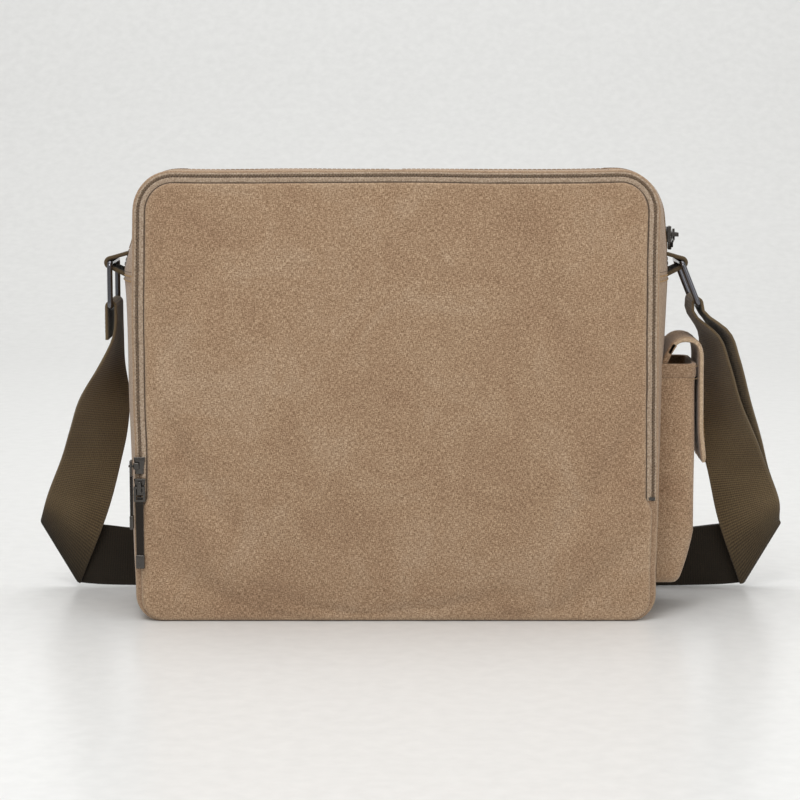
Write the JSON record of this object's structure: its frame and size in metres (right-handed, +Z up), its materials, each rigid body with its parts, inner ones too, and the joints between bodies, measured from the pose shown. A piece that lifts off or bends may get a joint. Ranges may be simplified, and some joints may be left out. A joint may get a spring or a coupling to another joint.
{
  "type": "messenger bag",
  "caption": "Canvas messenger bag with zipped front cover, zipped top mouth, side phone pocket and folded webbing shoulder strap.",
  "frame": {"origin": "centre of the flat base's underside, below the middle of the bag's width and of its gusset's depth", "axes": "+Z up, +X to the bag's right seen from the front, where the phone pocket is, -Y towards the front"},
  "size_m": [0.5158, 0.121, 0.2949],
  "materials": {
    "canvas": "washed khaki-brown cotton canvas",
    "lining": "plain brown polyester lining",
    "webbing": "woven olive-brown cotton webbing",
    "zip_tape": "woven greyish tan zip tape",
    "zip_coil": "nylon coil",
    "piping": "canvas piping",
    "gunmetal": "polished dark nickel",
    "pull_cord": "dark woven pull tape",
    "board": "polypropylene board",
    "loop_patch": "loop fastener"
  },
  "bodies": {
    "bag": {"back_edge_piping": "piping", "back_panel": "canvas", "base_board": "board", "base_gusset": "canvas", "corner_gusset_left": "canvas", "corner_gusset_right": "canvas", "front_edge_piping": "piping", "front_foot_lining": "lining", "front_foot_panel": "canvas", "front_partition": "lining", "front_zip_bag_coil": "zip_coil", "front_zip_stops": "gunmetal", "laptop_divider": "lining", "main_lining": "lining", "main_zip_end_coil_left": "zip_coil", "main_zip_end_coil_right": "zip_coil", "main_zip_end_tape_left": "zip_tape", "main_zip_end_tape_right": "zip_tape", "organiser_pocket": "lining", "pen_sleeves": "lining", "phone_pocket": "canvas", "phone_pocket_binding": "canvas", "pocket_flap_seam": "canvas", "pocket_loop_patch": "loop_patch", "side_gusset_left": "canvas", "side_gusset_right": "canvas", "strap_drop_left": "webbing", "strap_drop_right_inner": "webbing", "strap_drop_right_outer": "webbing", "strap_run_left": "webbing", "strap_run_right_inner": "webbing", "strap_run_right_outer": "webbing", "tab_left": "webbing", "tab_right": "webbing"},
    "front_cover": {"front_cover_panel": "canvas", "front_cover_lining": "lining", "front_zip_cover_tape": "zip_tape", "front_zip_cover_coil": "zip_coil"},
    "mouth_front": {"mouth_strip_front": "canvas", "main_zip_coil_front": "zip_coil"},
    "mouth_rear": {"mouth_strip_rear": "canvas", "main_zip_coil_rear": "zip_coil"},
    "slider_lower": {"front_slider_lower": "gunmetal"},
    "slider_upper": {"front_slider_upper": "gunmetal"},
    "slider_main": {"main_slider": "gunmetal"},
    "pull_lower": {"lower_pull_link": "gunmetal", "lower_pull_tongue": "pull_cord", "lower_pull_tip": "gunmetal"},
    "pull_upper": {"upper_pull_link": "gunmetal", "upper_pull_tongue": "pull_cord", "upper_pull_tip": "gunmetal"},
    "pull_main": {"main_pull_link": "gunmetal", "main_pull_tongue": "pull_cord", "main_pull_tip": "gunmetal"},
    "ring_left": {"ring_left": "gunmetal", "strap_sewn_end": "webbing"},
    "ring_right": {"ring_right": "gunmetal", "strap_ring_turn": "webbing"},
    "flap": {"pocket_flap": "canvas"},
    "adjuster": {"strap_adjuster": "gunmetal"}
  },
  "joints": [
    {"name": "front_cover_hinge", "type": "hinge", "parent": "bag", "child": "front_cover", "pos_m": [0, -0.051, 0.079], "axis": [1, 0, 0], "range_deg": [0, 110], "deforming": ["front_zip_cover_tape", "front_zip_cover_coil"]},
    {"name": "mouth_front_hinge", "type": "hinge", "parent": "bag", "child": "mouth_front", "pos_m": [0, -0.0445, 0.288], "axis": [1, 0, 0], "range_deg": [0, 75]},
    {"name": "mouth_rear_hinge", "type": "hinge", "parent": "bag", "child": "mouth_rear", "pos_m": [0, 0.0445, 0.288], "axis": [1, 0, 0], "range_deg": [-75, 0]},
    {"name": "slider_lower_slide", "type": "slide", "parent": "bag", "child": "slider_lower", "axis": [0, 0, 1], "range_m": [-0.001, 0.0012]},
    {"name": "slider_upper_slide", "type": "slide", "parent": "bag", "child": "slider_upper", "axis": [0, 0, 1], "range_m": [-0.0012, 0.148]},
    {"name": "slider_main_slide", "type": "slide", "parent": "bag", "child": "slider_main", "axis": [0, 0, 1], "range_m": [0, 0.012]},
    {"name": "pull_lower_swing", "type": "hinge", "parent": "slider_lower", "child": "pull_lower", "pos_m": [-0.166, -0.0525, 0.0885], "axis": [-1, 0, 0], "range_deg": [0, 150]},
    {"name": "pull_upper_swing", "type": "hinge", "parent": "slider_upper", "child": "pull_upper", "pos_m": [-0.1712, -0.0521, 0.1025], "axis": [-1, 0, 0], "range_deg": [0, 150]},
    {"name": "pull_main_swing", "type": "hinge", "parent": "slider_main", "child": "pull_main", "pos_m": [0.18296, 0, 0.249], "axis": [0, -0.2756, -0.9613], "range_deg": [0, 120]},
    {"name": "ring_left_swing", "type": "hinge", "parent": "bag", "child": "ring_left", "pos_m": [-0.1865, 0, 0.2315], "axis": [0, 1, 0], "range_deg": [-2, 60], "deforming": ["strap_drop_left"]},
    {"name": "ring_right_swing", "type": "hinge", "parent": "bag", "child": "ring_right", "pos_m": [0.1865, 0, 0.2315], "axis": [0, -1, 0], "range_deg": [-20, 40], "deforming": ["strap_drop_right_inner", "strap_drop_right_outer"]},
    {"name": "pocket_flap_hinge", "type": "hinge", "parent": "bag", "child": "flap", "pos_m": [0.1815, 0, 0.176], "axis": [0, -1, 0], "range_deg": [0, 25]},
    {"name": "adjuster_slide", "type": "slide", "parent": "bag", "child": "adjuster", "axis": [1, 0, 0], "range_m": [-0.1, 0.1], "deforming": ["strap_run_left", "strap_run_right_inner", "strap_run_right_outer"]}
  ],
  "couplings": [
    {"joint": "mouth_rear_hinge", "follows": "mouth_front_hinge", "ratio": -1}
  ]
}
